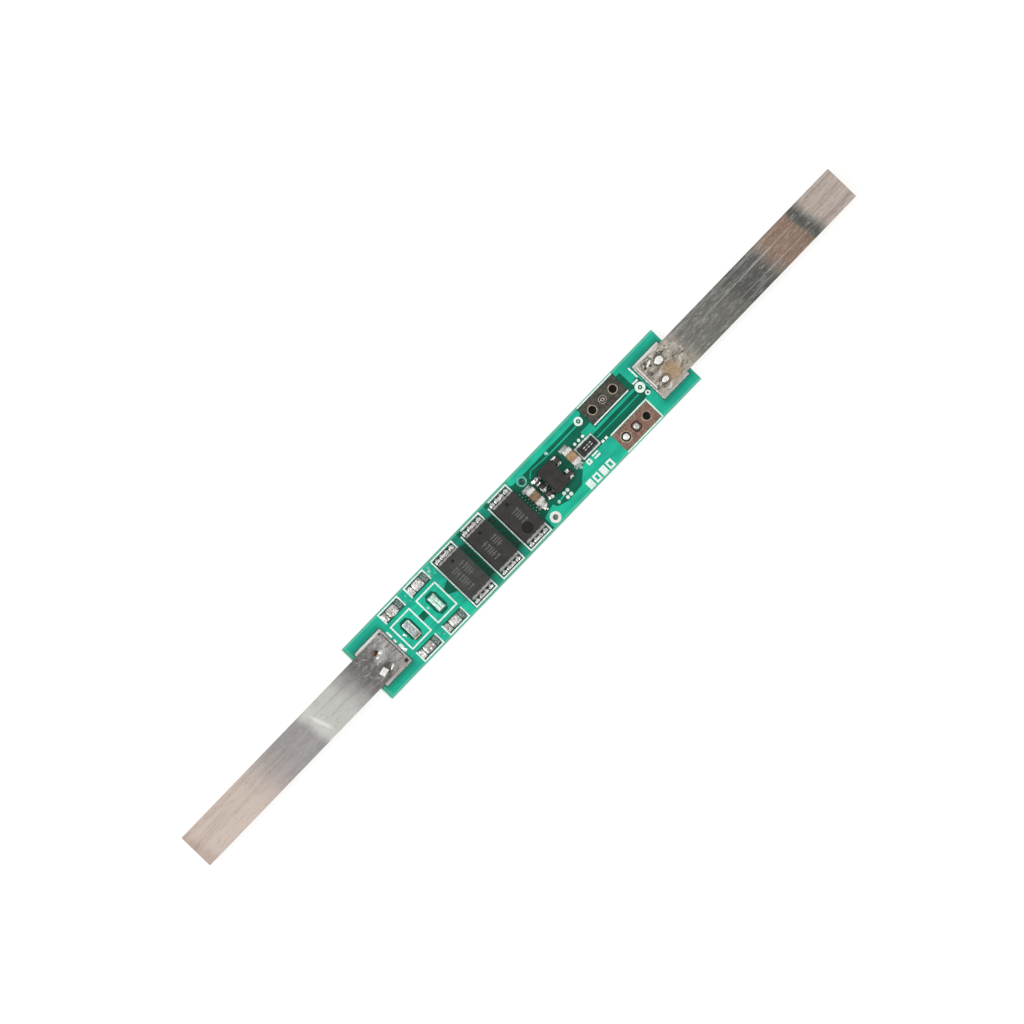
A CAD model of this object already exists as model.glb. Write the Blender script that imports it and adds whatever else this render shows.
# %% [markdown]
# # A battery protection board, dressed in Blender
# The real object is a narrow green circuit board for one lithium cell. A flat nickel strip is welded to
# each end, and small parts are soldered along the middle. The solids come from the CAD model and stay where
# they are. This lesson adds what a CAD model leaves out: light, finishes, solder that has flowed, and marks
# of use.

# %% Load the CAD model
import math

import bmesh
import bpy
from mathutils import Matrix, Vector, noise


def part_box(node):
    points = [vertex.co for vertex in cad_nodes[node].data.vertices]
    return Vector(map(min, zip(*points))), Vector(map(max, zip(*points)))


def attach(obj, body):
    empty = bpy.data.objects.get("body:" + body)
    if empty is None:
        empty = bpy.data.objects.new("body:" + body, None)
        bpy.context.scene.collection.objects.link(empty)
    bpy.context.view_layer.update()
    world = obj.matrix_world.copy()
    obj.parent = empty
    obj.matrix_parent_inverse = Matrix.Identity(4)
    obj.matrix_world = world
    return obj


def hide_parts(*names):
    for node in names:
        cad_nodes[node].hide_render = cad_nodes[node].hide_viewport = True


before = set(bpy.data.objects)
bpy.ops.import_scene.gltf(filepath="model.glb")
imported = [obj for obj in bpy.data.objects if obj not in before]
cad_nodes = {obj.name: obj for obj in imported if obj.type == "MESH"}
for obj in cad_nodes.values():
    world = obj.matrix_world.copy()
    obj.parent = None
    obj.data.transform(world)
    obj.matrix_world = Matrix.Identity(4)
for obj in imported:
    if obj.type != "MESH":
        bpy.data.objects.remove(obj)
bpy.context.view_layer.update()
MM = 0.001

# %% [markdown]
# ## Sizes that the rest needs
# Heights and middle lines are read from the CAD nodes, so that a piece sits on what carries it. Places that
# were measured in the photograph are written in millimetres from the middle of the board.


# %% Read the heights and the middle lines from the nodes
def middle(name):
    """The centre of a node, seen from above."""
    low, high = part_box(name)
    return (low.x + high.x) / 2, (low.y + high.y) / 2


board_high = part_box("wiring_board")[1]
mask_z = board_high.z
land_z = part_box("chip_lands")[1].z
TAB_THICKNESS = 0.15 * MM
tab_top_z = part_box("right_weld_plate")[1].z + TAB_THICKNESS
transistor_xs = [middle(f"transistor_{i}_body")[0] for i in (1, 2, 3)]
chip_x, chip_y = middle("chip_body")
print("mask, land, tab top in mm:", [round(z / MM, 3) for z in (mask_z, land_z, tab_top_z)])

# %% [markdown]
# ## Camera
# The photograph was taken from high above with a long lens. The tops of the tall parts stand a little to
# the right of their feet, which gives a lean of 9 degrees towards the left-hand tab, and the board lies at
# 46 degrees in the picture. A camera is placed by the point it looks at, the direction from there to the
# camera, and the direction that is up in the picture. The last one comes from the board: its long side as
# the camera sees it.

# %% Place the camera
BOARD_ANGLE = math.radians(46.0)
CAMERA_TILT = math.radians(9.0)
CAMERA_DISTANCE = 2.0
FRAME_WIDTH = 103.4 * MM
AIM = Vector((-0.565 * MM, 0.85 * MM, mask_z))
SENSOR = 36.0

towards_camera = Vector((-math.sin(CAMERA_TILT), 0, math.cos(CAMERA_TILT)))
along_board = (Vector((1, 0, 0)) - towards_camera * towards_camera.x).normalized()
across_board = towards_camera.cross(along_board)
picture_right = along_board * math.cos(BOARD_ANGLE) - across_board * math.sin(BOARD_ANGLE)
picture_up = along_board * math.sin(BOARD_ANGLE) + across_board * math.cos(BOARD_ANGLE)

camera_data = bpy.data.cameras.new("camera")
camera_data.sensor_width = SENSOR
camera_data.lens = SENSOR * CAMERA_DISTANCE / FRAME_WIDTH
camera_data.clip_start = 0.1
camera_data.clip_end = 20
camera = bpy.data.objects.new("camera", camera_data)
camera.matrix_world = Matrix.Translation(AIM + towards_camera * CAMERA_DISTANCE) @ Matrix(
    (picture_right, picture_up, towards_camera)).transposed().to_4x4()
bpy.context.scene.collection.objects.link(camera)
bpy.context.scene.camera = camera
bpy.context.scene.view_settings.view_transform = "Standard"
print("focal length:", round(camera_data.lens, 1), "mm")

# %% [markdown]
# ## Floor and light
# The photograph has a white ground with hardly a shadow, as on a light table. A floor that glows under a
# wide bright sky gives that. Bare metal shows what is round it, so the sky is brighter overhead and on the
# left and fades towards the horizon: a bump in the solder then has a light side and a dark side. A black
# card under the board keeps the floor's light out of the drilled holes.


# %% Lay the floor and the card
def link(obj):
    bpy.context.scene.collection.objects.link(obj)
    return obj


def stage_sheet(name, half_x, half_y, z, colour, glow=0.0):
    """A flat sheet of the studio, which is no part of the object."""
    mesh = bpy.data.meshes.new(name)
    mesh.from_pydata([(-half_x, -half_y, 0), (half_x, -half_y, 0), (half_x, half_y, 0), (-half_x, half_y, 0)],
                     [], [(0, 1, 2, 3)])
    sheet = link(bpy.data.objects.new(name, mesh))
    sheet.location.z = z
    paint = bpy.data.materials.new(name + "_paint")
    paint.use_nodes = True
    shader = paint.node_tree.nodes["Principled BSDF"]
    shader.inputs["Base Color"].default_value = colour
    shader.inputs["Roughness"].default_value = 0.9
    shader.inputs["Specular IOR Level"].default_value = 0.05
    shader.inputs["Emission Color"].default_value = (1, 1, 0.995, 1)
    shader.inputs["Emission Strength"].default_value = glow
    mesh.materials.append(paint)
    print(name, "lies at", round(z / MM, 3), "mm")


CARD_INSET = 0.4 * MM
stage_sheet("floor", 3.0, 3.0, -0.02 * MM, (0.28, 0.28, 0.279, 1), glow=0.78)
card_x, card_y = board_high.x - CARD_INSET, board_high.y - CARD_INSET
stage_sheet("black_card", card_x, card_y, -0.01 * MM, (0.06, 0.066, 0.056, 1))

# %% Light the sky
SKY_TOP = 0.96
SKY_SIDE = 0.44
world = bpy.data.worlds.new("soft_sky")
bpy.context.scene.world = world
world.use_nodes = True
sky = world.node_tree
sky_place = sky.nodes.new("ShaderNodeTexCoord")
sky_lean = sky.nodes.new("ShaderNodeVectorMath")
sky_lean.operation = "DOT_PRODUCT"
sky_lean.inputs[1].default_value = Vector((-0.34, 0.1, 0.93)).normalized()
sky.links.new(sky_place.outputs["Generated"], sky_lean.inputs[0])
sky_fade = sky.nodes.new("ShaderNodeMapRange")
sky_fade.inputs["From Min"].default_value = 0.15
sky_fade.inputs["From Max"].default_value = 0.95
sky_fade.inputs["To Min"].default_value = SKY_SIDE
sky_fade.inputs["To Max"].default_value = SKY_TOP
sky.links.new(sky_lean.outputs["Value"], sky_fade.inputs["Value"])
sky.links.new(sky_fade.outputs["Result"], sky.nodes["Background"].inputs["Strength"])
sky.nodes["Background"].inputs["Color"].default_value = (1, 1, 0.995, 1)


# %% Add two lamps
def area_lamp(name, place, size, power):
    """A square lamp that faces the middle of the board."""
    data = bpy.data.lights.new(name, "AREA")
    data.size = size
    data.energy = power
    lamp = link(bpy.data.objects.new(name, data))
    lamp.location = place
    lamp.rotation_euler = (-Vector(place)).to_track_quat("-Z", "Y").to_euler()


area_lamp("key_lamp", (-0.5, 0.22, 0.55), 0.26, 2.2)
area_lamp("rim_lamp", (0.45, -0.42, 0.5), 0.18, 0.6)

# %% [markdown]
# ## Helpers for finishes
# Every finish is a small network of nodes. The pattern is placed by the object's own coordinates, in
# metres, so it stays on the piece from every side. These helpers keep each finish to a few lines.


# %% Helpers for nodes
def srgb(r, g, b):
    """A colour as a paint program shows it, 0 to 255, as the linear light that the nodes work in."""
    def linear(c):
        c /= 255
        return c / 12.92 if c <= 0.04045 else ((c + 0.055) / 1.055) ** 2.4
    return linear(r), linear(g), linear(b), 1


class Finish:
    """A new material, with its shader and shortcuts for the nodes that feed it."""

    def __init__(self, name, roughness=0.5, metallic=0.0, specular=0.5):
        self.material = bpy.data.materials.new(name)
        self.material.use_nodes = True
        self.tree = self.material.node_tree
        self.shader = self.tree.nodes["Principled BSDF"]
        self.shader.inputs["Roughness"].default_value = roughness
        self.shader.inputs["Metallic"].default_value = metallic
        self.shader.inputs["Specular IOR Level"].default_value = specular
        self.place = self.tree.nodes.new("ShaderNodeTexCoord").outputs["Object"]
        split = self.node("ShaderNodeSeparateXYZ", Vector=self.place)
        self.x, self.y, self.z = (self.math("MULTIPLY", split.outputs[axis], 1 / MM) for axis in "XYZ")

    def node(self, kind, **inputs):
        node = self.tree.nodes.new(kind)
        for key, value in inputs.items():
            self.feed(node.inputs[key], value)
        return node

    def feed(self, socket, value):
        if isinstance(value, bpy.types.NodeSocket):
            self.tree.links.new(value, socket)
        else:
            socket.default_value = value

    def noise(self, size_mm, detail=3.0, stretch=(1, 1, 1), roughness=0.55, swirl=0.0):
        """Cloudy noise with spots of about this size, from 0 to 1. Swirl drags the spots into curls."""
        place = self.node("ShaderNodeMapping", Vector=self.place, Scale=stretch).outputs["Vector"]
        return self.node("ShaderNodeTexNoise", Vector=place, Scale=1 / (size_mm * MM), Detail=detail,
                         Roughness=roughness, Distortion=swirl).outputs["Fac"]

    def fade(self, value, low, high, to_low=0.0, to_high=1.0):
        """Turns low..high into to_low..to_high, with soft ends."""
        node = self.tree.nodes.new("ShaderNodeMapRange")
        node.interpolation_type = "SMOOTHSTEP"
        for socket, v in zip(("Value", "From Min", "From Max", "To Min", "To Max"),
                             (value, low, high, to_low, to_high)):
            self.feed(node.inputs[socket], v)
        return node.outputs["Result"]

    def math(self, operation, a, b=0.0):
        node = self.tree.nodes.new("ShaderNodeMath")
        node.operation = operation
        self.feed(node.inputs[0], a)
        self.feed(node.inputs[1], b)
        return node.outputs[0]

    def times(self, a, b):
        return self.math("MULTIPLY", a, b)

    def mix(self, share, a, b):
        """Colour a where share is 0 and colour b where it is 1."""
        node = self.tree.nodes.new("ShaderNodeMix")
        node.data_type = "RGBA"
        for index, value in ((0, share), (6, a), (7, b)):
            self.feed(node.inputs[index], value)
        return node.outputs[2]

    def vary(self, colour, pattern, share, dark, light):
        """Darkens a colour where the pattern is high and lightens it where the pattern is low."""
        colour = self.mix(self.fade(pattern, 0.5, 0.7, 0.0, share), colour, dark)
        return self.mix(self.fade(pattern, 0.5, 0.3, 0.0, share), colour, light)

    def band(self, along, start, full, leave, end):
        """1 between full and leave, fading to 0 at start and end, all in millimetres."""
        return self.times(self.fade(along, start, full), self.fade(along, leave, end, 1.0, 0.0))

    def upright(self):
        """The share of a face's direction that is vertical: 1 on a flat top, 0 on a side."""
        normal = self.node("ShaderNodeNewGeometry").outputs["True Normal"]
        return self.math("ABSOLUTE", self.node("ShaderNodeSeparateXYZ", Vector=normal).outputs["Z"])

    def patch(self, x, y, reach_x, reach_y, angle=0.0, soft=0.6):
        """1 in a rounded patch about a point in millimetres, fading to 0 at its reach along each axis."""
        c, s = math.cos(math.radians(angle)), math.sin(math.radians(angle))
        dx, dy = self.math("SUBTRACT", self.x, x), self.math("SUBTRACT", self.y, y)
        along = self.math("ADD", self.times(dx, c / reach_x), self.times(dy, s / reach_x))
        across = self.math("SUBTRACT", self.times(dy, c / reach_y), self.times(dx, s / reach_y))
        distance = self.math("SQRT", self.math("ADD", self.times(along, along), self.times(across, across)))
        return self.fade(distance, soft, 1.0, 1.0, 0.0)

    def bump(self, height, depth_mm, strength=1.0):
        """Raises and lowers the surface's shading by the height, up to this depth."""
        node = self.node("ShaderNodeBump", Height=height, Distance=depth_mm * MM, Strength=strength)
        self.tree.links.new(node.outputs["Normal"], self.shader.inputs["Normal"])

    def set(self, **values):
        for key, value in values.items():
            self.feed(self.shader.inputs[key.replace("_", " ")], value)


def dress(material, *names):
    """Gives CAD nodes their finish."""
    for name in names:
        slots = cad_nodes[name].data.materials
        slots.clear()
        slots.append(material)
    print(f"{material.name} on {', '.join(names)}")


# %% [markdown]
# ## The green mask
# The board is glass cloth in resin under a clear green lacquer. Over bare resin the lacquer looks dark,
# over copper it looks bright, and the cut edges show the pale resin. One function makes the lacquer for
# both, with a faint weave, a cloudy change of tone and streaks along the board where the lacquer was drawn
# on. It pales towards the sawn edges and darkens beside the weld plates, where it was heated. Between the
# transistors it is dark with old flux.

# %% Lacquer over resin and over copper
BOARD_HALF_X, BOARD_HALF_Y = board_high.x / MM, board_high.y / MM


def green_mask(name, deep, bright, edge, speckle=0.5, flux=0.0):
    f = Finish(name, roughness=0.3, specular=0.12)
    cloud = f.noise(2.6, detail=4)
    fine = f.noise(0.2, detail=3, roughness=0.7)
    tone = f.mix(f.fade(cloud, 0.36, 0.66), deep, bright)
    tone = f.mix(f.fade(fine, 0.35, 0.7, 0.0, speckle), tone, deep)
    darker, lighter = ([c * k for c in colour[:3]] + [1] for colour, k in ((deep, 0.6), (bright, 1.35)))
    tone = f.vary(tone, f.noise(0.55, 4, (0.14, 1, 1), 0.6), 0.4, darker, lighter)
    x, y = f.math("ABSOLUTE", f.x), f.math("ABSOLUTE", f.y)
    tone = f.mix(f.fade(x, 16.0, 19.0, 0.0, 0.6), tone, deep)
    if flux:
        spread = f.fade(f.noise(0.3, 4), 0.3, 0.6, 0.6, 1.0)
        tone = f.mix(f.times(f.fade(y, 1.9, 2.5, flux, 0.0), spread), tone, srgb(26, 30, 20))
    beside_plate = f.times(f.fade(x, 18.0, 18.8), f.band(y, 1.9, 2.35, 2.6, 3.1))
    tone = f.mix(f.times(beside_plate, 0.45), tone, srgb(6, 104, 84))
    tone = f.mix(f.fade(f.x, BOARD_HALF_X - 0.3, BOARD_HALF_X - 0.15, 0.0, 0.9), tone, srgb(58, 168, 144))
    sawn = f.fade(f.x, -BOARD_HALF_X, -BOARD_HALF_X + 0.6, 0.45, 0.0)
    long_side = f.fade(y, BOARD_HALF_Y - 0.35, BOARD_HALF_Y - 0.1, 0.0, 0.68)
    tone = f.mix(f.math("MAXIMUM", sawn, long_side), tone, srgb(120, 205, 180))
    f.set(Base_Color=f.mix(f.fade(f.upright(), 0.8, 0.95), edge, tone), Coat_Weight=0.05, Coat_Roughness=0.12)
    weave = f.math("ADD", f.noise(0.09, 0, (0.2, 1, 1)), f.noise(0.09, 0, (1, 0.2, 1)))
    f.bump(f.math("ADD", f.times(weave, 0.5), fine), 0.006, 0.5)
    return f.material


pale_resin = srgb(176, 212, 196)
mask_on_resin = green_mask("mask_on_resin", srgb(2, 92, 70), srgb(6, 102, 80), pale_resin)
mask_on_copper = green_mask("mask_on_copper", srgb(27, 163, 138), srgb(28, 191, 155), srgb(40, 180, 150))
mask_in_gaps = green_mask("mask_in_gaps", srgb(22, 136, 112), srgb(34, 154, 130), srgb(40, 150, 120),
                          flux=0.9)
dress(mask_on_resin, "wiring_board")
dress(mask_on_copper, "left_foil", "right_foil", "signal_traces")
dress(mask_in_gaps, "gap_foils")

# %% [markdown]
# ## White print
# Screen-printed ink is thick, chalky and a little uneven. The lines are real geometry, so the finish only
# has to keep them from looking like plain white plastic.


# %% Chalky ink
def print_ink():
    f = Finish("print_ink", roughness=0.7, specular=0.25)
    thin = f.fade(f.noise(0.16, detail=4), 0.3, 0.62)
    f.set(Base_Color=f.mix(thin, srgb(190, 218, 208), srgb(244, 248, 245)))
    f.bump(f.noise(0.08, detail=2), 0.006, 0.6)
    return f.material


ink = print_ink()
dress(ink, "legend")

# %% [markdown]
# ## Nickel
# The strips and the plates under them are rolled nickel. Rolling leaves fine lines along the strip, so the
# noise is stretched lengthwise. Handling stains the metal in soft bands across the strip: rosy at the left
# end, dark and tan on the right. The spot welds leave mottled metal round them, a scorch mark and a tan
# bloom of heat.

# %% Rolled and stained nickel
ROSY, TAN, CREAM = srgb(220, 201, 190), srgb(154, 124, 108), srgb(190, 179, 164)
PALE, DARK = srgb(208, 208, 203), srgb(90, 89, 86)
WHITE, BLACKENED = srgb(240, 240, 236), srgb(52, 47, 42)
BURNT, HEATED = srgb(150, 104, 72), srgb(176, 148, 116)


def rolled_nickel(name, base, stains=(), marks=(), wear=0.2, weld_x=None, scorch=0.8):
    f = Finish(name, metallic=1.0)
    ripple = f.times(f.math("SUBTRACT", f.noise(1.8, detail=3), 0.5), 1.2)
    along = f.math("ADD", f.math("ADD", f.x, ripple), f.times(f.y, 0.12))
    colour = base
    for tint, strength, edges in stains:
        colour = f.mix(f.times(f.band(along, *edges), strength), colour, tint)
    lines = f.noise(0.1, 5, (0.03, 1, 1), 0.7)
    wide_lines = f.noise(0.5, 3, (0.04, 1, 1))
    grain = f.noise(0.2, 5, (0.22, 1, 1), 0.8, swirl=0.6)
    for pattern, share in ((lines, wear * 0.6), (wide_lines, wear), (grain, wear * 2)):
        colour = f.vary(colour, pattern, share, DARK, PALE)
    height = f.math("ADD", lines, f.times(grain, 0.6))
    if weld_x is not None:
        near_weld = f.patch(weld_x, 0, 3.6, 4.4, soft=0.55)
        mottle = f.noise(0.5, 5, (0.6, 1, 1), 0.85, swirl=0.6)
        colour = f.mix(f.times(near_weld, f.fade(mottle, 0.5, 0.62, 0.0, scorch)), colour, BLACKENED)
        colour = f.mix(f.times(near_weld, f.fade(mottle, 0.46, 0.36, 0.0, scorch)), colour, WHITE)
        height = f.math("ADD", height, f.times(near_weld, f.times(mottle, 2.0)))
    for x, y, reach_x, reach_y, angle, tint, strength in marks:
        colour = f.mix(f.times(f.patch(x, y, reach_x, reach_y, angle, 0.35), strength), colour, tint)
    f.set(Base_Color=colour, Roughness=f.fade(lines, 0.3, 0.7, 0.27, 0.4))
    f.bump(height, 0.008, 0.5)
    return f.material


# each stain: tint, strength, and the places where it starts, is full, leaves and ends
left_stains = [
    (ROSY, 0.95, (-61, -60, -41.0, -34.0)),
    (TAN, 0.3, (-61, -60, -47.5, -46.4)),
    (PALE, 0.9, (-31.3, -30.2, -27.0, -23.6)),
    (DARK, 0.75, (-25.1, -22.8, -21.6, -19.6)),
]
right_stains = [
    (CREAM, 0.85, (-1, 0, 22.7, 24.9)),
    (DARK, 0.95, (29.8, 32.4, 35.0, 36.4)),
    (TAN, 0.9, (35.0, 37.6, 40.7, 41.2)),
    (DARK, 0.8, (40.8, 41.3, 41.7, 42.3)),
    (ROSY, 0.68, (41.9, 43.2, 60, 61)),
]
# each mark: x, y, reach along it, reach across it, turn in degrees, tint, strength
left_marks = [
    (-29.63, -0.05, 1.9, 0.3, -71.6, WHITE, 0.55),
    (-20.6, 0.3, 0.9, 0.8, 0, WHITE, 0.35),
    (-20.70, 0.88, 0.6, 0.36, 4, BLACKENED, 1.0),
    (-20.86, 0.94, 0.3, 0.14, 10, BURNT, 1.0),
    (-20.84, -1.05, 0.85, 0.6, 20, BLACKENED, 0.6),
]
right_marks = [
    (21.2, -0.85, 1.3, 1.5, 0, HEATED, 0.85),
    (20.99, 0.86, 0.92, 0.86, 0, BLACKENED, 0.75),
    (20.1, -0.97, 0.8, 0.74, 0, BLACKENED, 0.75),
    (33.0, 0.62, 11.0, 0.08, 0.5, PALE, 0.4),
    (36.0, -0.85, 9.0, 0.07, -0.5, PALE, 0.35),
]
left_nickel = rolled_nickel("left_nickel", srgb(166, 161, 160), left_stains, left_marks, 0.15, -20.4, 0.5)
right_nickel = rolled_nickel("right_nickel", srgb(118, 117, 112), right_stains, right_marks, 0.26, 20.8, 0.95)
dress(left_nickel, "left_tab")
dress(right_nickel, "right_tab")
plate_marks = [(x, 2.35, 2.6, 0.5, 0, WHITE, 0.8) for x in (-20.4, 20.4)]
dress(rolled_nickel("plate_nickel", srgb(190, 186, 182), marks=plate_marks, wear=0.3), "left_weld_plate",
      "right_weld_plate")

# %% [markdown]
# ## Solder and tinned copper
# Solder is tin alloy that has melted and set. It is bright where it flowed well and grainy where it cooled
# slowly. A bumpy surface does most of the work, because metal is seen by what it mirrors. The upright sides
# of the leads mirror the dark bodies beside them, so they are tinted dark.


# %% Solder, tin and tarnished copper
def solder_finish(name, bright, dull, grain_mm=0.12, depth_mm=0.02, roughness=(0.22, 0.42), pits=0.5,
                  dark_sides=0.0):
    f = Finish(name, metallic=1.0)
    grain = f.noise(grain_mm, 4, roughness=0.7)
    patch = f.noise(grain_mm * 4, 3)
    shiny, tarnished = (bright, bright, bright * 0.98, 1), (dull, dull * 0.97, dull * 0.93, 1)
    colour = f.mix(f.fade(patch, 0.35, 0.65), shiny, tarnished)
    colour = f.mix(f.fade(grain, 0.52, 0.64, 0.0, pits), colour, (0.11, 0.09, 0.075, 1))
    if dark_sides:
        colour = f.mix(f.fade(f.upright(), 0.6, 0.95, dark_sides, 0.0), colour, (0.03, 0.03, 0.03, 1))
    f.set(Base_Color=colour, Roughness=f.fade(grain, 0.3, 0.7, *roughness))
    f.bump(grain, depth_mm, 0.9)
    return f.material


def tarnished_copper(name, dark, light, speck):
    f = Finish(name, metallic=0.35, roughness=0.6, specular=0.4)
    cloud = f.noise(0.32, 5, roughness=0.75)
    speckle = f.noise(0.12, 4, roughness=0.7)
    colour = f.mix(f.fade(cloud, 0.36, 0.64), dark, light)
    f.set(Base_Color=f.mix(f.fade(speckle, 0.5, 0.64, 0, 0.85), colour, speck))
    f.bump(f.math("ADD", cloud, speckle), 0.03, 0.7)
    return f.material


def washed(name, base, light, size_mm=0.2, roughness=0.4, metallic=0.6):
    """A plain finish with a soft change between two colours."""
    f = Finish(name, roughness=roughness, metallic=metallic)
    f.set(Base_Color=f.mix(f.fade(f.noise(size_mm, 4), 0.38, 0.62), base, light))
    f.bump(f.noise(size_mm / 2, 3), 0.01, 0.7)
    return f.material


solder = solder_finish("solder", 0.9, 0.7)
grainy_solder = solder_finish("grainy_solder", 0.82, 0.46, 0.2, 0.03, (0.26, 0.45), 0.9)
aged_tin = washed("aged_tin", srgb(34, 62, 58), srgb(150, 166, 158), 0.12)
white_solder = solder_finish("white_solder", 0.97, 0.88, 0.2, 0.01, (0.16, 0.3), 0.1)
tin = solder_finish("tin", 0.80, 0.62, 0.2, 0.008, (0.28, 0.4), 0.25)
dark_tin = solder_finish("dark_tin", 0.1, 0.06, 0.2, 0.008, (0.28, 0.4), 0.2)
lead_tin = solder_finish("lead_tin", 0.56, 0.42, 0.14, 0.01, (0.3, 0.42), 0.3, dark_sides=0.9)
stub_tin = solder_finish("stub_tin", 0.46, 0.36, 0.2, 0.01, (0.3, 0.42), 0.3)
dull_tin = solder_finish("dull_tin", 0.92, 0.84, 0.1, 0.006, (0.5, 0.6), 0.1)
pad_grey = washed("pad_grey", srgb(138, 152, 154), srgb(206, 214, 211), 0.2)
tan_tin = washed("tan_tin", srgb(150, 120, 106), srgb(214, 190, 178), 0.15)
pad_white = washed("pad_white", srgb(158, 208, 190), srgb(232, 244, 238), 0.2)
row_solder = solder_finish("row_solder", 0.94, 0.78, 0.14, 0.012, (0.26, 0.42), 0.3)
dark_terminal = tarnished_copper("dark_terminal", srgb(54, 53, 47), srgb(94, 91, 82), srgb(26, 25, 21))
brown_terminal = tarnished_copper("brown_terminal", srgb(124, 92, 80), srgb(158, 126, 112), srgb(72, 46, 40))
dress(dark_tin, "chip_leads", "chip_lands", "transistor_lands", "left_plate_land", "right_plate_land",
      "resistor_ends", "resistor_solder")
dress(tin, "spare_lands", "small_lands")
dress(lead_tin, "transistor_1_leads", "transistor_2_leads", "transistor_3_leads")
dress(solder, "capacitor_1_ends", "capacitor_2_ends")
dress(dark_terminal, "upper_terminal")
dress(brown_terminal, "lower_terminal")
dress(mask_in_gaps, "upper_test_ring")
dress(dull_tin, "lower_test_ring")

# %% [markdown]
# ## Moulded bodies, ceramic and coat
# The black bodies are epoxy with fine mineral grains, satin with a soft sparkle. The round marks in their
# tops are left by the mould and hold dust, so they are darker, and the top edges are rubbed lighter. One
# capacitor is brown ceramic and the other tan, and the resistor is white ceramic under a black glassy coat.


# %% Epoxy, ceramic and glassy coat
def moulding_compound(name, dark, light, top_mm):
    f = Finish(name, specular=0.42)
    grain = f.noise(0.09, 4, roughness=0.75)
    tone = f.mix(f.fade(f.noise(0.9, 3), 0.35, 0.65), dark, light)
    tone = f.mix(f.fade(grain, 0.5, 0.7, 0, 0.3), tone, srgb(104, 100, 95))
    up = f.upright()
    rubbed = f.times(f.fade(up, 0.55, 0.7), f.fade(up, 0.99, 0.96))
    tone = f.mix(f.times(rubbed, 0.55), tone, srgb(128, 124, 118))
    hollow = f.times(f.fade(f.z, top_mm - 0.02, top_mm - 0.005, 1.0, 0.0), f.fade(up, 0.97, 0.99))
    tone = f.mix(f.times(hollow, 0.9), tone, srgb(27, 25, 23))
    f.set(Base_Color=tone, Roughness=f.fade(grain, 0.3, 0.7, 0.42, 0.6),
          Specular_IOR_Level=f.fade(hollow, 0.0, 1.0, 0.4, 0.22))
    f.bump(grain, 0.012, 0.7)
    return f.material


transistor_top_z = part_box("transistor_1_body")[1].z
epoxy = moulding_compound("epoxy", srgb(46, 46, 45), srgb(56, 56, 54), transistor_top_z / MM)
dark_epoxy = moulding_compound("dark_epoxy", srgb(34, 33, 32), srgb(44, 43, 42), transistor_top_z / MM)
chip_top_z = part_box("chip_body")[1].z
chip_epoxy = moulding_compound("chip_epoxy", srgb(30, 28, 26), srgb(42, 39, 36), chip_top_z / MM)
black_coat = washed("black_coat", srgb(14, 14, 16), srgb(26, 25, 26), 0.3, 0.3, 0.0)
dress(epoxy, "transistor_1_body")
dress(dark_epoxy, "transistor_2_body", "transistor_3_body")
dress(chip_epoxy, "chip_body")
dress(washed("brown_ceramic", srgb(140, 112, 84), srgb(112, 86, 62), 0.3, 0.45, 0.0), "capacitor_1_body")
dress(washed("tan_ceramic", srgb(172, 142, 108), srgb(148, 120, 90), 0.3, 0.45, 0.0), "capacitor_2_body")
dress(washed("white_ceramic", srgb(232, 232, 226), srgb(216, 214, 206), 0.3, 0.6, 0.0), "resistor_body")
dress(black_coat, "resistor_coat")

# %% [markdown]
# ## Softened edges
# No real edge is perfectly sharp, and the thin line of light along an edge is what tells the eye so. A
# bevel modifier rounds the edges of a CAD node without changing the node's own mesh. On the board it also
# bares a narrow line of pale resin, where the saw has chipped the lacquer.


# %% Round the edges of the CAD nodes
def soften(width_mm, *names, segments=2):
    for name in names:
        bevel = cad_nodes[name].modifiers.new("soft_edges", "BEVEL")
        bevel.width = width_mm * MM
        bevel.segments = segments
        bevel.limit_method = "ANGLE"
        bevel.angle_limit = math.radians(40)
        bevel.use_clamp_overlap = True
    print(f"{width_mm} mm edge on {', '.join(names)}")


soften(0.09, "wiring_board", segments=1)
soften(0.05, "transistor_1_body", "transistor_2_body", "transistor_3_body", "chip_body", segments=1)
soften(0.09, "capacitor_1_ends", "capacitor_2_ends", segments=3)
soften(0.05, "resistor_ends")
soften(0.02, "left_weld_plate", "right_weld_plate", "left_tab", "right_tab")

# %% [markdown]
# ## Shapes for small pieces
# Solder that has flowed is a mound: flat or hollow on top, steep at its edge, never quite even. It is built
# as a grid whose height is worked out for each point. Flat things such as burrs are outlines raised a
# little, and round things are turned from a section. These functions make all the small pieces below.


# %% Mesh helpers
def new_piece(name, bm, material, replaced=(), smooth=True):
    """Turns mesh data into a piece that rides on the board."""
    bmesh.ops.recalc_face_normals(bm, faces=bm.faces)
    mesh = bpy.data.meshes.new(name)
    bm.to_mesh(mesh)
    bm.free()
    mesh.materials.append(material)
    for polygon in mesh.polygons:
        polygon.use_smooth = smooth
    piece = link(bpy.data.objects.new(name, mesh))
    if replaced:
        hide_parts(*replaced)
    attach(piece, "root")
    print(f"{name}: {len(mesh.polygons)} faces")
    return piece


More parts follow.
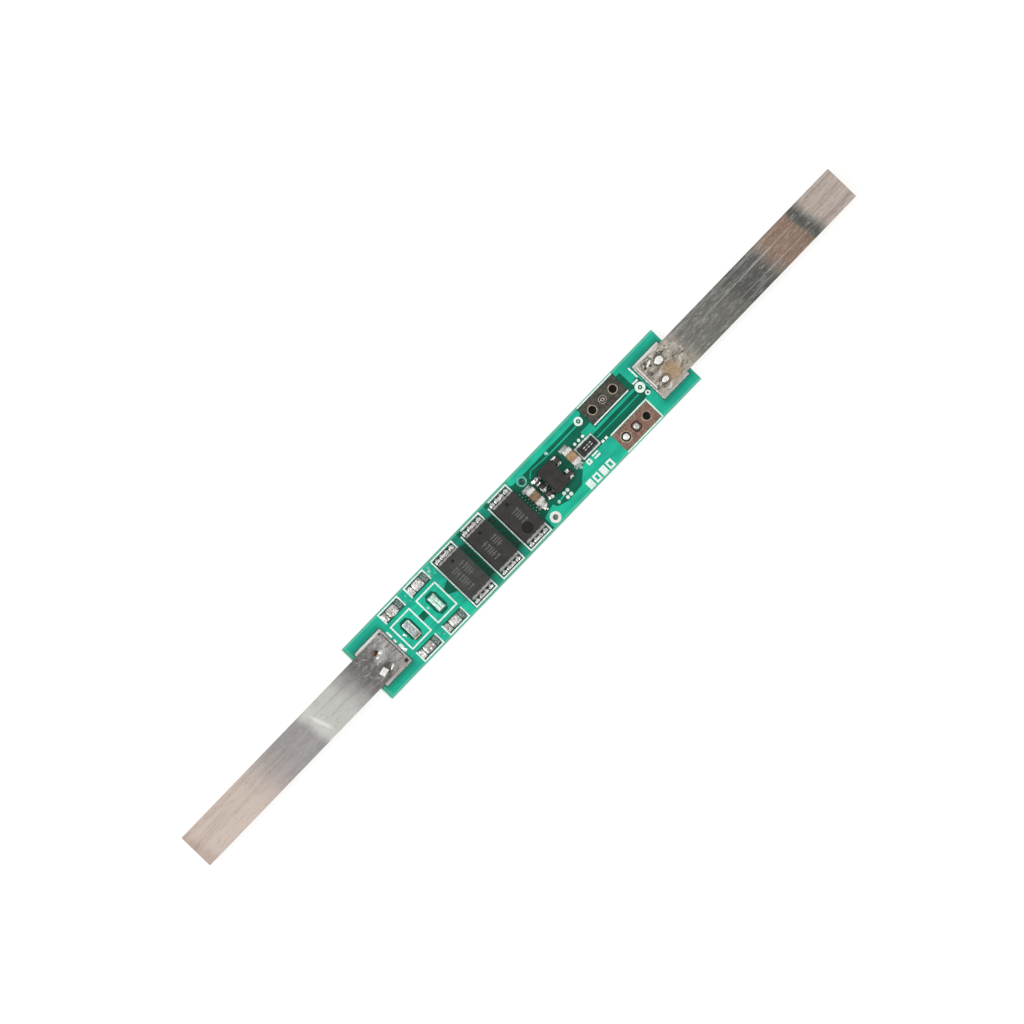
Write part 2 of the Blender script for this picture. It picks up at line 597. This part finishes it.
def add_mound(bm, place, size, height, rule, steps=(18, 18), turn=0.0):
    """Adds a mound. place is the middle of its foot, size is along X and Y before the turn, and rule(u, v)
    gives the share of the height for u and v from -1 to 1."""
    nu, nv = steps
    spin = Matrix.Rotation(math.radians(turn), 3, "Z")
    top = {}
    for i in range(nu + 1):
        for j in range(nv + 1):
            u, v = 2 * i / nu - 1, 2 * j / nv - 1
            x = u * math.sqrt(1 - 0.14 * v * v * abs(u))
            y = v * math.sqrt(1 - 0.14 * u * u * abs(v))
            rise = 0.0 if i in (0, nu) or j in (0, nv) else height * max(0.0, rule(u, v))
            top[i, j] = bm.verts.new(spin @ Vector((x * size[0] / 2, y * size[1] / 2, rise)) + Vector(place))
    for i in range(nu):
        for j in range(nv):
            bm.faces.new((top[i, j], top[i + 1, j], top[i + 1, j + 1], top[i, j + 1]))
    rim = [(i, 0) for i in range(nu)] + [(nu, j) for j in range(nv)]
    rim += [(i, nv) for i in range(nu, 0, -1)] + [(0, j) for j in range(nv, 0, -1)]
    bm.faces.new([top[key] for key in reversed(rim)])


def dome(u, v, power=3.0):
    """High and flat in the middle, round at the edge."""
    return (max(0.0, 1 - abs(u) ** power) * max(0.0, 1 - abs(v) ** power)) ** 0.5


def lumps(u, v, seed, size=0.8, depth=0.2):
    """A multiplier near 1 that makes a mound uneven."""
    return 1 + depth * noise.noise(Vector((u / size + seed * 7.3, v / size - seed * 3.1, seed)))


def bead(u, v):
    """A round drop: nothing outside the circle that fits the foot."""
    return max(0.0, 1 - (u * u + v * v) ** 2) ** 0.5


def uneven_dome(seed, power=3.0, size=0.5, depth=0.4):
    """A rule for a mound: a dome with lumps."""
    return lambda u, v: dome(u, v, power) * lumps(u, v, seed, size, depth)


def add_prism(bm, outline, low, high):
    """Adds a flat shape with an outline of (x, y) points, between two heights."""
    bottom = [bm.verts.new((x, y, low)) for x, y in outline]
    top = [bm.verts.new((x, y, high)) for x, y in outline]
    bm.faces.new(list(reversed(bottom)))
    bm.faces.new(top)
    for i in range(len(outline)):
        j = (i + 1) % len(outline)
        bm.faces.new((bottom[i], bottom[j], top[j], top[i]))


def rounded(x, y, width, length, radius, n=3):
    """The outline of a rectangle with round corners."""
    points = []
    for sx, sy, start in ((1, 1, 0), (-1, 1, 90), (-1, -1, 180), (1, -1, 270)):
        for k in range(n + 1):
            a = math.radians(start + 90 * k / n)
            points.append((x + (width / 2 - radius) * sx + radius * math.cos(a),
                           y + (length / 2 - radius) * sy + radius * math.sin(a)))
    return points


def add_frame(bm, outer, inner, low, high):
    """Adds a flat frame between two outlines that have as many points, between two heights."""
    loops = [[bm.verts.new((x, y, z)) for x, y in points]
             for points, z in ((outer, low), (outer, high), (inner, high), (inner, low))]
    for i in range(len(outer)):
        j = (i + 1) % len(outer)
        for a, b in zip(loops, loops[1:] + loops[:1]):
            bm.faces.new((a[i], a[j], b[j], b[i]))


def add_turned(bm, place, section, closed=False, steps=28):
    """Adds a turned shape. section is a list of (radius, height): from the middle outwards and down to the
    underside, or once round a ring's own section if closed is set."""
    x, y, z = place
    points = [(r, h) for r, h in section if closed or r > 0]
    angles = [2 * math.pi * i / steps for i in range(steps)]
    rings = [[bm.verts.new((x + r * math.cos(a), y + r * math.sin(a), z + h)) for r, h in points]
             for a in angles]
    count = len(points)
    tip = None if closed else bm.verts.new((x, y, z + section[0][1]))
    for i in range(steps):
        a, b = rings[i], rings[(i + 1) % steps]
        for k in range(count if closed else count - 1):
            m = (k + 1) % count
            bm.faces.new((a[k], b[k], b[m], a[m]))
        if tip:
            bm.faces.new((tip, a[0], b[0]))
    if tip:
        bm.faces.new([ring[-1] for ring in reversed(rings)])


# %% [markdown]
# ## Solder at the transistors
# The two middle leads of a row share a land, so their solder is one wide mound. The outer leads have a
# narrow mound each, and the mounds almost touch. Where a lead leaves the body it still carries the stubs of
# the bar that joined all the leads before they were cut apart.

# %% Solder rows and cut stubs
LEAD_PITCH = 0.65 * MM
PINS = (-1.5, -0.5, 0.5, 1.5)
NARROW = 0.645 * MM
WIDE = LEAD_PITCH + NARROW
ROW_MOUNDS = ((PINS[0] * LEAD_PITCH, NARROW), (0.0, WIDE), (PINS[-1] * LEAD_PITCH, NARROW))
# for the lower and the upper row: where the solder starts and ends, and how far out the stubs reach
ROWS = ((-1, 2.72 * MM, 3.04 * MM, 2.54 * MM), (1, 2.46 * MM, 2.92 * MM, 2.46 * MM))
ROW_HEIGHT = 0.14 * MM
STUB_START, STUB_WIDTH, STUB_DEPTH = 2.3 * MM, 0.64 * MM, 0.14 * MM
lead_top_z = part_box("transistor_1_leads")[1].z

for i, x_middle in enumerate(transistor_xs, start=1):
    bm = bmesh.new()
    for side, start, end, _ in ROWS:
        for k, (offset, width) in enumerate(ROW_MOUNDS):
            place = (x_middle + offset, side * (start + end) / 2, land_z)
            add_mound(bm, place, (width, end - start), ROW_HEIGHT,
                      uneven_dome(10 * i + k + 5 * side, 8, 0.5, 0.35), (40 if width == WIDE else 20, 16))
    new_piece(f"transistor_{i}_solder_rows", bm, row_solder, [f"transistor_{i}_solder"])
    bm = bmesh.new()
    for side, _, _, stub_end in ROWS:
        for pin in PINS:
            stub = rounded(x_middle + pin * LEAD_PITCH, side * (STUB_START + stub_end) / 2, STUB_WIDTH,
                           stub_end - STUB_START, 0.02 * MM)
            add_prism(bm, stub, lead_top_z - STUB_DEPTH, lead_top_z + 0.005 * MM)
    new_piece(f"transistor_{i}_cut_stubs", bm, stub_tin, smooth=False)

# %% [markdown]
# ## Faint marks on the transistors
# A laser leaves shallow pale marks on the bodies. They are rows of bars, some of them crossed by a shorter
# bar.

# %% Laser marks
MARK_PITCH, MARK_LENGTH, MARK_HALF = 0.44 * MM, 0.84 * MM, 0.004 * MM
# each row of marks: its middle from the body's centre along X and along Y, and how many marks it has
MARK_ROWS = (((-0.52, -0.32, 6), (0.55, 0.3, 4)), ((-0.485, -0.32, 5), (0.69, 0.04, 3)), ((0.16, 0.03, 4),))
# each mark is made of strokes: place along X and Y, and size along X and Y, as shares of the mark's length
MARK_SHAPES = (
    ((0, 0.15, 1, 0.13), (0, -0.15, 1, 0.13)),
    ((0, 0, 1, 0.13), (0.3, 0.14, 0.13, 0.14), (0.3, -0.14, 0.13, 0.14)),
    ((-0.27, 0, 0.4, 0.13), (0.27, 0, 0.4, 0.13), (0, 0, 0.13, 0.42)),
)
laser_mark = washed("laser_mark", srgb(72, 72, 70), srgb(112, 111, 108), 0.07, 0.6, 0.0)
for i, (x_middle, rows) in enumerate(zip(transistor_xs, MARK_ROWS), start=1):
    bm = bmesh.new()
    for row_x, row_y, count in rows:
        for k in range(count):
            x, y = x_middle + row_x * MM, row_y * MM + (k - (count - 1) / 2) * MARK_PITCH
            for shares in MARK_SHAPES[(i + k + count) % len(MARK_SHAPES)]:
                dx, dy, w, h = (share * MARK_LENGTH for share in shares)
                stroke = rounded(x + dx, y + dy, w, h, 0.02 * MM, n=1)
                add_prism(bm, stroke, transistor_top_z - MARK_HALF, transistor_top_z + MARK_HALF)
    new_piece(f"transistor_{i}_marks", bm, laser_mark, smooth=False)

# %% [markdown]
# ## The unused positions
# Two transistor positions were left empty. Their lands carry a skin of grainy solder, which is tarnished on
# the land at the right of each row. The middle pad of the first is grey and that of the second whitish. A
# rim of brighter solder stands on three sides of the first pad, and a tan tail lies at the fourth.

# %% Solder on the empty lands
spare_low, spare_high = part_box("spare_solder")
LAND_WIDTH = 0.36 * MM
SPARE_HALF = ((len(PINS) - 1) * LEAD_PITCH + LAND_WIDTH) / 2
spare_xs = (spare_low.x + SPARE_HALF, spare_high.x - SPARE_HALF)
SPARE_ROW_Y, SPARE_ROW_LENGTH = 2.62 * MM, 1.0 * MM
fresh, tarnished = bmesh.new(), bmesh.new()
for n, x_middle in enumerate(spare_xs):
    for side in (-1, 1):
        for k, (offset, width) in enumerate(ROW_MOUNDS):
            place = (x_middle + offset, side * SPARE_ROW_Y, land_z)
            rule = uneven_dome(20 + 9 * n + k + 4 * side, 5, 0.4, 0.6)
            add_mound(tarnished if k == 2 else fresh, place, (width, SPARE_ROW_LENGTH), 0.11 * MM, rule,
                      steps=(30 if width == WIDE else 14, 26))
new_piece("empty_land_solder", fresh, grainy_solder, ["spare_solder"])
new_piece("empty_land_tarnish", tarnished, aged_tin)

SPARE_PAD = (0.9 * MM, 1.8 * MM)
for n, x_middle in enumerate(spare_xs):
    bm = bmesh.new()

    def pad_rule(u, v, n=n):
        slit = 1 - 0.8 * n * math.exp(-((u - 0.1) / 0.2) ** 2) * (-0.8 < v < 0.3)
        return dome(u, v, 5) * lumps(u, v, 31 + n, 0.35, 0.3) * slit

    add_mound(bm, (x_middle, 0, land_z), SPARE_PAD, 0.1 * MM, pad_rule, steps=(20, 36))
    new_piece(f"middle_pad_solder_{n + 1}", bm, (pad_grey, pad_white)[n])

# %% Rim, tail and drops of solder beside the pads
x = spare_xs[0]
bm = bmesh.new()
for side in (-1, 1):
    add_mound(bm, (x + side * 0.4 * MM, 0.02 * MM, land_z), (0.16 * MM, 1.75 * MM), 0.15 * MM,
              uneven_dome(3, 3, 0.2, 0.25), steps=(8, 40))
add_mound(bm, (x, 0.84 * MM, land_z), (0.86 * MM, 0.16 * MM), 0.15 * MM, dome, steps=(20, 8))
new_piece("pad_rim", bm, white_solder)
bm = bmesh.new()
add_mound(bm, (x, -1.02 * MM, mask_z), (1.02 * MM, 0.24 * MM), 0.09 * MM, uneven_dome(8, 3, 0.3, 0.5),
          steps=(24, 10))
new_piece("pad_tail", bm, tan_tin)

# each drop: x, y, length, width, turn in degrees
DROPS = ((-17.22, -0.02, 0.28, 0.52, 10), (-13.55, 0.2, 0.2, 0.3, 0), (-18.32, 0.3, 0.3, 0.5, 0),
         (-18.24, -0.9, 0.34, 0.6, 10), (-16.33, 2.14, 0.62, 0.16, 0))
bm = bmesh.new()
for x, y, w, h, turn in DROPS:
    add_mound(bm, (x * MM, y * MM, mask_z), (w * MM, h * MM), 0.11 * MM,
              uneven_dome(x, 2, 0.6), (12, 12), turn)
new_piece("solder_drops", bm, white_solder)

# %% [markdown]
# ## Solder at the control chip and the capacitors
# The chip's leads stand in dull solder, and light shows on the bright flanks beside each lead. At a
# capacitor the solder climbs the metal end in a slope, which is called a fillet.

# %% Solder round the chip's leads
CHIP_LAND = (0.95 * MM, 0.76 * MM)
CHIP_PITCH = 0.95 * MM
CHIP_PINS = ((-1, -1), (-1, 0), (-1, 1), (1, -1), (1, 1))
chip_land_low, chip_land_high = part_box("chip_lands")
bm = bmesh.new()
for k, (side, row) in enumerate(CHIP_PINS):
    edge = chip_land_high.x if side > 0 else chip_land_low.x
    add_mound(bm, (edge - side * CHIP_LAND[0] / 2, chip_y + row * CHIP_PITCH, land_z), CHIP_LAND, 0.12 * MM,
              uneven_dome(50 + k, 3, 0.6, 0.3))
new_piece("chip_solder_base", bm, dark_tin, ["chip_solder"])

# each flank: x and y from the chip's centre, length along X, width along Y, turn in degrees
FLANKS = ((-1.5, 1.06, 1.04, 0.5, 0), (-1.46, 0.58, 0.86, 0.26, 0), (-1.74, -0.02, 0.22, 0.78, 0),
          (-1.34, -0.28, 0.74, 0.46, 0), (-1.54, -1.24, 0.84, 0.5, -14),
          (1.4, 1.3, 0.78, 0.34, 0), (1.4, 0.52, 0.88, 0.32, 0), (1.38, -0.56, 0.72, 0.46, 0),
          (1.42, -1.3, 0.62, 0.36, 0))
bm = bmesh.new()
for k, (dx, dy, w, h, turn) in enumerate(FLANKS):
    add_mound(bm, (chip_x + dx * MM, chip_y + dy * MM, land_z), (w * MM, h * MM), 0.26 * MM,
              uneven_dome(80 + k, 2.5, 0.6, 0.45), (18, 14), turn)
new_piece("chip_solder_flanks", bm, white_solder)


# %% Fillets at the capacitors
FILLET_WIDTH, FILLET_HEIGHT, FILLET_LAP = 0.98 * MM, 0.5 * MM, 0.03 * MM


def fillet(bm, x, y, outward, width, reach, height, seed):
    """A slope of solder against a metal end. outward is +1 or -1 along Y."""
    def rule(u, v):
        away = (v * outward + 1) / 2
        slope = (1 - away) ** 1.15 * (1 - 0.3 * abs(u) ** 3)
        return slope * max(0.0, 1 - abs(u) ** 6) ** 0.5 * lumps(u, v, seed, 0.5, 0.35)
    place = (x, y + outward * (reach / 2 - FILLET_LAP), land_z)
    add_mound(bm, place, (width, reach), height, rule, steps=(20, 20))


for i in (1, 2):
    low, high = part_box(f"capacitor_{i}_ends")
    x = (low.x + high.x) / 2
    bm = bmesh.new()
    fillet(bm, x, high.y, 1, FILLET_WIDTH, 0.48 * MM, FILLET_HEIGHT, 60 + i)
    fillet(bm, x, low.y, -1, FILLET_WIDTH, 0.46 * MM, FILLET_HEIGHT, 70 + i)
    new_piece(f"capacitor_{i}_fillets", bm, solder, [f"capacitor_{i}_solder"])
    if i == 1:
        bm = bmesh.new()
        for dx, dy, w, h in ((-0.02, -0.62, 0.5, 0.46), (0.3, -0.5, 0.44, 0.26), (0.1, -0.9, 0.3, 0.2)):
            add_mound(bm, (x + dx * MM, low.y + dy * MM, mask_z), (w * MM, h * MM), 0.2 * MM,
                      uneven_dome(77, 2, 0.5, 0.5), steps=(14, 14))
        new_piece("spilt_solder", bm, white_solder)

# %% [markdown]
# ## The weld plates
# Each plate was soldered down, so a lumpy bank of solder stands round it. The strip on top was spot welded:
# two electrodes pressed it down and a pulse of current melted the metal between them. The pinched metal is
# polished to a mirror. The right strip's end has a burr, and the left one's is burnt.


# %% Solder round the plates
def add_bank(bm, low, high, z, width, height, seed, spacing):
    """Adds a bank of solder round a rectangle, leaning against what stands inside it."""
    corners = [(high.x, high.y), (low.x, high.y), (low.x, low.y), (high.x, low.y)]
    stations = []
    for (ax, ay), (bx, by) in zip(corners, corners[1:] + corners[:1]):
        length = math.hypot(bx - ax, by - ay)
        dx, dy = (bx - ax) / length, (by - ay) / length
        count = int(length / spacing)
        steps = [length * k / count for k in range(1, count)]
        stations += [(ax + dx * step, ay + dy * step, dy, -dx) for step in steps]
        stations += [(bx, by, dy * math.cos(a) + dx * math.sin(a), -dx * math.cos(a) + dy * math.sin(a))
                     for a in (0.0, 0.52, 1.05, 1.57)]
    loops = []
    for x, y, nx, ny in stations:
        wave = noise.noise(Vector((x / (0.3 * MM), y / (0.3 * MM), seed)))
        w, h = width * (1 + 0.3 * wave), height * (1 + 0.45 * wave)
        section = ((-0.03 * MM, 0), (w, 0), (w * 0.8, h * 0.45), (w * 0.4, h * 0.85), (-0.03 * MM, h))
        loops.append([bm.verts.new((x + nx * o, y + ny * o, z + r)) for o, r in section])
    for i, loop in enumerate(loops):
        after = loops[(i + 1) % len(loops)]
        for k in range(len(loop)):
            m = (k + 1) % len(loop)
            bm.faces.new((loop[k], after[k], after[m], loop[m]))


BANK_WIDTH, BANK_HEIGHT, BANK_SPACING = 0.06 * MM, 0.19 * MM, 0.07 * MM
for side, finish in (("left", grainy_solder), ("right", solder)):
    low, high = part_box(f"{side}_weld_plate")
    plate_x, plate_y = middle(f"{side}_weld_plate")
    bm = bmesh.new()
    add_bank(bm, low, high, land_z, BANK_WIDTH, BANK_HEIGHT, 11, BANK_SPACING)
    add_prism(bm, rounded(plate_x, plate_y, high.x - low.x, high.y - low.y, 0.1 * MM), land_z, low.z)
    new_piece(f"{side}_plate_bank", bm, finish, [f"{side}_plate_solder"])

# %% Welded spots and burrs
# each spot: x, y, length, width, turn in degrees
LEFT_SPOTS = ((-21.42, -1.07, 0.98, 0.74, 14), (-20.42, -1.3, 0.84, 0.3, 28), (-20.84, 0.36, 0.46, 0.4, 20),
              (-20.3, 0.55, 0.44, 0.5, -20))
RIGHT_SPOTS = ((20.99, 0.86, 1.16, 0.9, 12), (20.02, 1.36, 0.98, 0.32, 24), (20.1, -0.97, 0.9, 0.7, 5))
SPOT_DEPTH, SPOT_RISE = 0.09 * MM, 0.07 * MM
for side, spots in (("left", LEFT_SPOTS), ("right", RIGHT_SPOTS)):
    bm = bmesh.new()
    for k, (x, y, w, h, turn) in enumerate(spots):
        # the first spot on the left is square, all others are round
        add_mound(bm, (x * MM, y * MM, tab_top_z - SPOT_DEPTH), (w * MM, h * MM), SPOT_DEPTH + SPOT_RISE,
                  bead if k or side == "right" else uneven_dome(2, 8, 0.6, 0.15), (20, 20), turn)
    new_piece(f"{side}_weld_spots", bm, white_solder)

left_tab_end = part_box("left_tab")[1].x
right_tab_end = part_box("right_tab")[0].x
bm = bmesh.new()
add_prism(bm, rounded(right_tab_end + 0.03 * MM, 0.5 * MM, 0.12 * MM, 3.0 * MM, 0.04 * MM),
          tab_top_z - 0.04 * MM, tab_top_z + 0.02 * MM)
new_piece("right_tab_burr", bm, white_solder, smooth=False)
bm = bmesh.new()
for dx, y, w, h in ((-0.05, 0.2, 0.1, 3.3), (-0.2, -1.86, 0.44, 0.4), (-0.24, 1.94, 0.3, 0.2)):
    add_mound(bm, (left_tab_end + dx * MM, y * MM, tab_top_z - 0.02 * MM), (w * MM, h * MM), 0.05 * MM,
              uneven_dome(5, 3, 0.3, 0.5), steps=(10, 30))
new_piece("left_tab_burnt_edge", bm, black_coat)

# %% [markdown]
# ## Terminals, holes and vias
# The plating stands up a little round most of the drilled holes and is rubbed brighter there. Three holes
# hold solder: a crown with a groove of burnt flux round it. A via joins the copper of both sides. The
# lacquer covers it and sags, which leaves a small ring with a dimple.

# %% Rims of the terminal holes
WIRE_HOLE, MIDDLE_HOLE = 0.43 * MM, 0.34 * MM
HOLE_PITCH = 1.5 * MM
upper_x, upper_y = middle("upper_terminal")
lower_x, lower_y = middle("lower_terminal")
open_holes = ((upper_x - HOLE_PITCH, upper_y), (upper_x + HOLE_PITCH, upper_y),
              (lower_x + HOLE_PITCH, lower_y))
filled_wire_hole = (lower_x - HOLE_PITCH, lower_y, land_z)
upper_middle_hole = (upper_x, upper_y, land_z)


def add_rim(bm, place, inner_mm, outer_mm, height_mm):
    """Adds a low round rim that stands on a land."""
    points = ((inner_mm, -0.01), (outer_mm, -0.01), (outer_mm, height_mm * 0.4),
              ((inner_mm + outer_mm) / 2, height_mm), (inner_mm, height_mm * 0.6))
    add_turned(bm, place, [(r * MM, h * MM) for r, h in points], closed=True, steps=36)


rubbed_copper = tarnished_copper("rubbed_copper", srgb(160, 144, 124), srgb(196, 180, 158), srgb(110, 96, 80))
burnt_flux = tarnished_copper("burnt_flux", srgb(24, 20, 16), srgb(40, 33, 27), srgb(16, 13, 10))
bm = bmesh.new()
for x, y in open_holes:
    add_rim(bm, (x, y, land_z), 0.43, 0.54, 0.04)
add_rim(bm, filled_wire_hole, 0.52, 0.66, 0.03)
add_rim(bm, upper_middle_hole, 0.36, 0.45, 0.03)
new_piece("hole_rims", bm, rubbed_copper)

bm = bmesh.new()
add_rim(bm, upper_middle_hole, 0.25, 0.355, 0.012)
add_rim(bm, filled_wire_hole, 0.38, 0.49, 0.012)
add_turned(bm, upper_middle_hole, [(0, 0.02 * MM), (0.12 * MM, 0.02 * MM), (0.12 * MM, -0.05 * MM)])
outer = rounded(lower_x, lower_y, 0.98 * MM, 1.04 * MM, 0.3 * MM, n=5)
inner = rounded(lower_x, lower_y, 0.74 * MM, 0.8 * MM, 0.22 * MM, n=5)
add_frame(bm, outer, inner, land_z - 0.01 * MM, land_z + 0.015 * MM)
new_piece("flux_rings", bm, burnt_flux)

# %% Crowns of the filled holes
plug_low_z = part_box("upper_terminal_plug")[0].z
NECK = 0.06 * MM


def add_crown(bm, x, y, hole, profile_mm):
    """Adds a plug that fills a hole from below, has a narrow neck and ends in a crown of (radius, height)."""
    crown = [(r * MM, h * MM) for r, h in profile_mm]
    shoulder = crown[-1][0] + 0.03 * MM
    add_turned(bm, (x, y, land_z), crown + [(shoulder, 0), (shoulder, -NECK), (hole, -NECK - 0.03 * MM),
                                            (hole, plug_low_z - land_z)], steps=32)


bm = bmesh.new()
hollow_crown = [(0, -0.02), (0.08, -0.02), (0.12, 0.04), (0.18, 0.05), (0.22, 0.03)]
add_crown(bm, upper_x, upper_y, MIDDLE_HOLE, hollow_crown)
new_piece("upper_crown", bm, stub_tin, ["upper_terminal_plug"])
bm = bmesh.new()
add_crown(bm, lower_x, lower_y, MIDDLE_HOLE, [(0, 0.06), (0.12, 0.06), (0.22, 0.05), (0.29, 0.03)])
high_crown = [(0, 0.1), (0.14, 0.095), (0.26, 0.075), (0.34, 0.04)]
add_crown(bm, lower_x - HOLE_PITCH, lower_y, WIRE_HOLE, high_crown)
lower_crowns = new_piece("lower_crowns", bm, white_solder, ["lower_terminal_plugs"])
lower_crowns.data.materials.append(grainy_solder)
for polygon in lower_crowns.data.polygons:
    polygon.material_index = int(polygon.center.x > lower_x - HOLE_PITCH / 2)


# %% Vias under the lacquer
def via_section(radius, height):
    """The section of a raised via with a dimple in its middle."""
    return [(0, height * 0.35), (radius * 0.35, height * 0.45), (radius * 0.6, height),
            (radius * 0.85, height * 0.8), (radius, 0), (radius, -0.02 * MM)]


stained_lacquer = washed("stained_lacquer", srgb(28, 40, 28), srgb(16, 74, 58), 0.15, 0.3, 0.0)
pale_green = washed("pale_green", srgb(110, 180, 156), srgb(190, 226, 210), 0.15, 0.3, 0.0)
GAP_VIA_PITCH = 0.75 * MM
bm = bmesh.new()
for a, b in zip(transistor_xs, transistor_xs[1:]):
    for k in range(-2, 3):
        add_turned(bm, ((a + b) / 2, k * GAP_VIA_PITCH, mask_z), via_section(0.2 * MM, 0.055 * MM))
new_piece("gap_vias", bm, stained_lacquer, ["tented_vias"])

# each via: x, y, radius
LOOSE_VIAS = ((6.17, 2.47, 0.2), (3.54, -1.85, 0.2), (7.67, -1.02, 0.2), (-10.805, 2.72, 0.2),
              (10.8, 2.4, 0.12), (17.72, 0.3, 0.12))
STITCHES = [(x, y - 0.38 * k, 0.07)
            for x, y, count in ((1.24, 1.48, 8), (1.55, 1.29, 7)) for k in range(count)]
CLUSTERS = [(-10.62, 3.02, 0.17), (-11.1, 2.4, 0.15), (-10.5, 2.2, 0.12), (-14.9, 3.0, 0.09),
            (-14.3, 2.7, 0.1), (-14.75, 2.3, 0.09), (-14.3, 2.0, 0.08), (-14.6, -2.4, 0.1),
            (-14.3, -2.75, 0.08)]
bm = bmesh.new()
for x, y, r in list(LOOSE_VIAS) + STITCHES + CLUSTERS:
    add_turned(bm, (x * MM, y * MM, mask_z), via_section(r * MM, 0.06 * MM), steps=16)
new_piece("loose_vias", bm, pale_green)

teal = washed("teal", srgb(66, 164, 140), srgb(110, 196, 172), 0.2, 0.3, 0.0)
bm = bmesh.new()
add_rim(bm, (*middle("upper_test_ring"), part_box("upper_test_ring")[1].z), 0.38, 0.56, 0.012)
new_piece("upper_test_rim", bm, teal)

# %% [markdown]
# ## Lacquer in the test holes
# When the board was coated, lacquer closed the two small test holes. A sagging skin of it lies a little
# below the top of each.

# %% Skins in the test holes
for side, tint in (("upper", washed("dark_skin", srgb(20, 62, 50), srgb(36, 82, 68), 0.15, 0.3, 0.0)),
                   ("lower", washed("pale_skin", srgb(66, 88, 76), srgb(112, 132, 118), 0.15, 0.3, 0.0))):
    bm = bmesh.new()
    add_turned(bm, (*middle(f"{side}_test_ring"), mask_z), [(r * MM, h * MM) for r, h in (
        (0, -0.2), (0.12, -0.19), (0.22, -0.16), (0.33, -0.08), (0.33, -0.26), (0.2, -0.3))], steps=24)
    new_piece(f"{side}_test_skin", bm, tint)

# %% [markdown]
# ## The resistor's marks
# Two rows of pale blocks lie on the resistor's black coat, and the printed frame round it was laid on
# thick.

# %% Thick ink and blocks at the resistor
coat_x, coat_y = middle("resistor_coat")
bm = bmesh.new()
add_frame(bm, rounded(coat_x, coat_y, 2.46 * MM, 1.52 * MM, 0.05 * MM),
          rounded(coat_x, coat_y, 2.1 * MM, 1.16 * MM, 0.05 * MM), mask_z - 0.01 * MM, mask_z + 0.04 * MM)
new_piece("thick_ink", bm, ink, smooth=False)
coat_top_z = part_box("resistor_coat")[1].z
bm = bmesh.new()
for k in (-1, 0, 1):
    for side in (-1, 1):
        block = rounded(coat_x + k * 0.4 * MM, coat_y + side * 0.13 * MM, 0.26 * MM, 0.1 * MM, 0.03 * MM)
        add_prism(bm, block, coat_top_z - 0.004 * MM, coat_top_z + 0.008 * MM)
new_piece("resistor_marks", bm, washed("cream", srgb(150, 146, 138), srgb(228, 224, 216), 0.1, 0.5, 0.0),
          smooth=False)
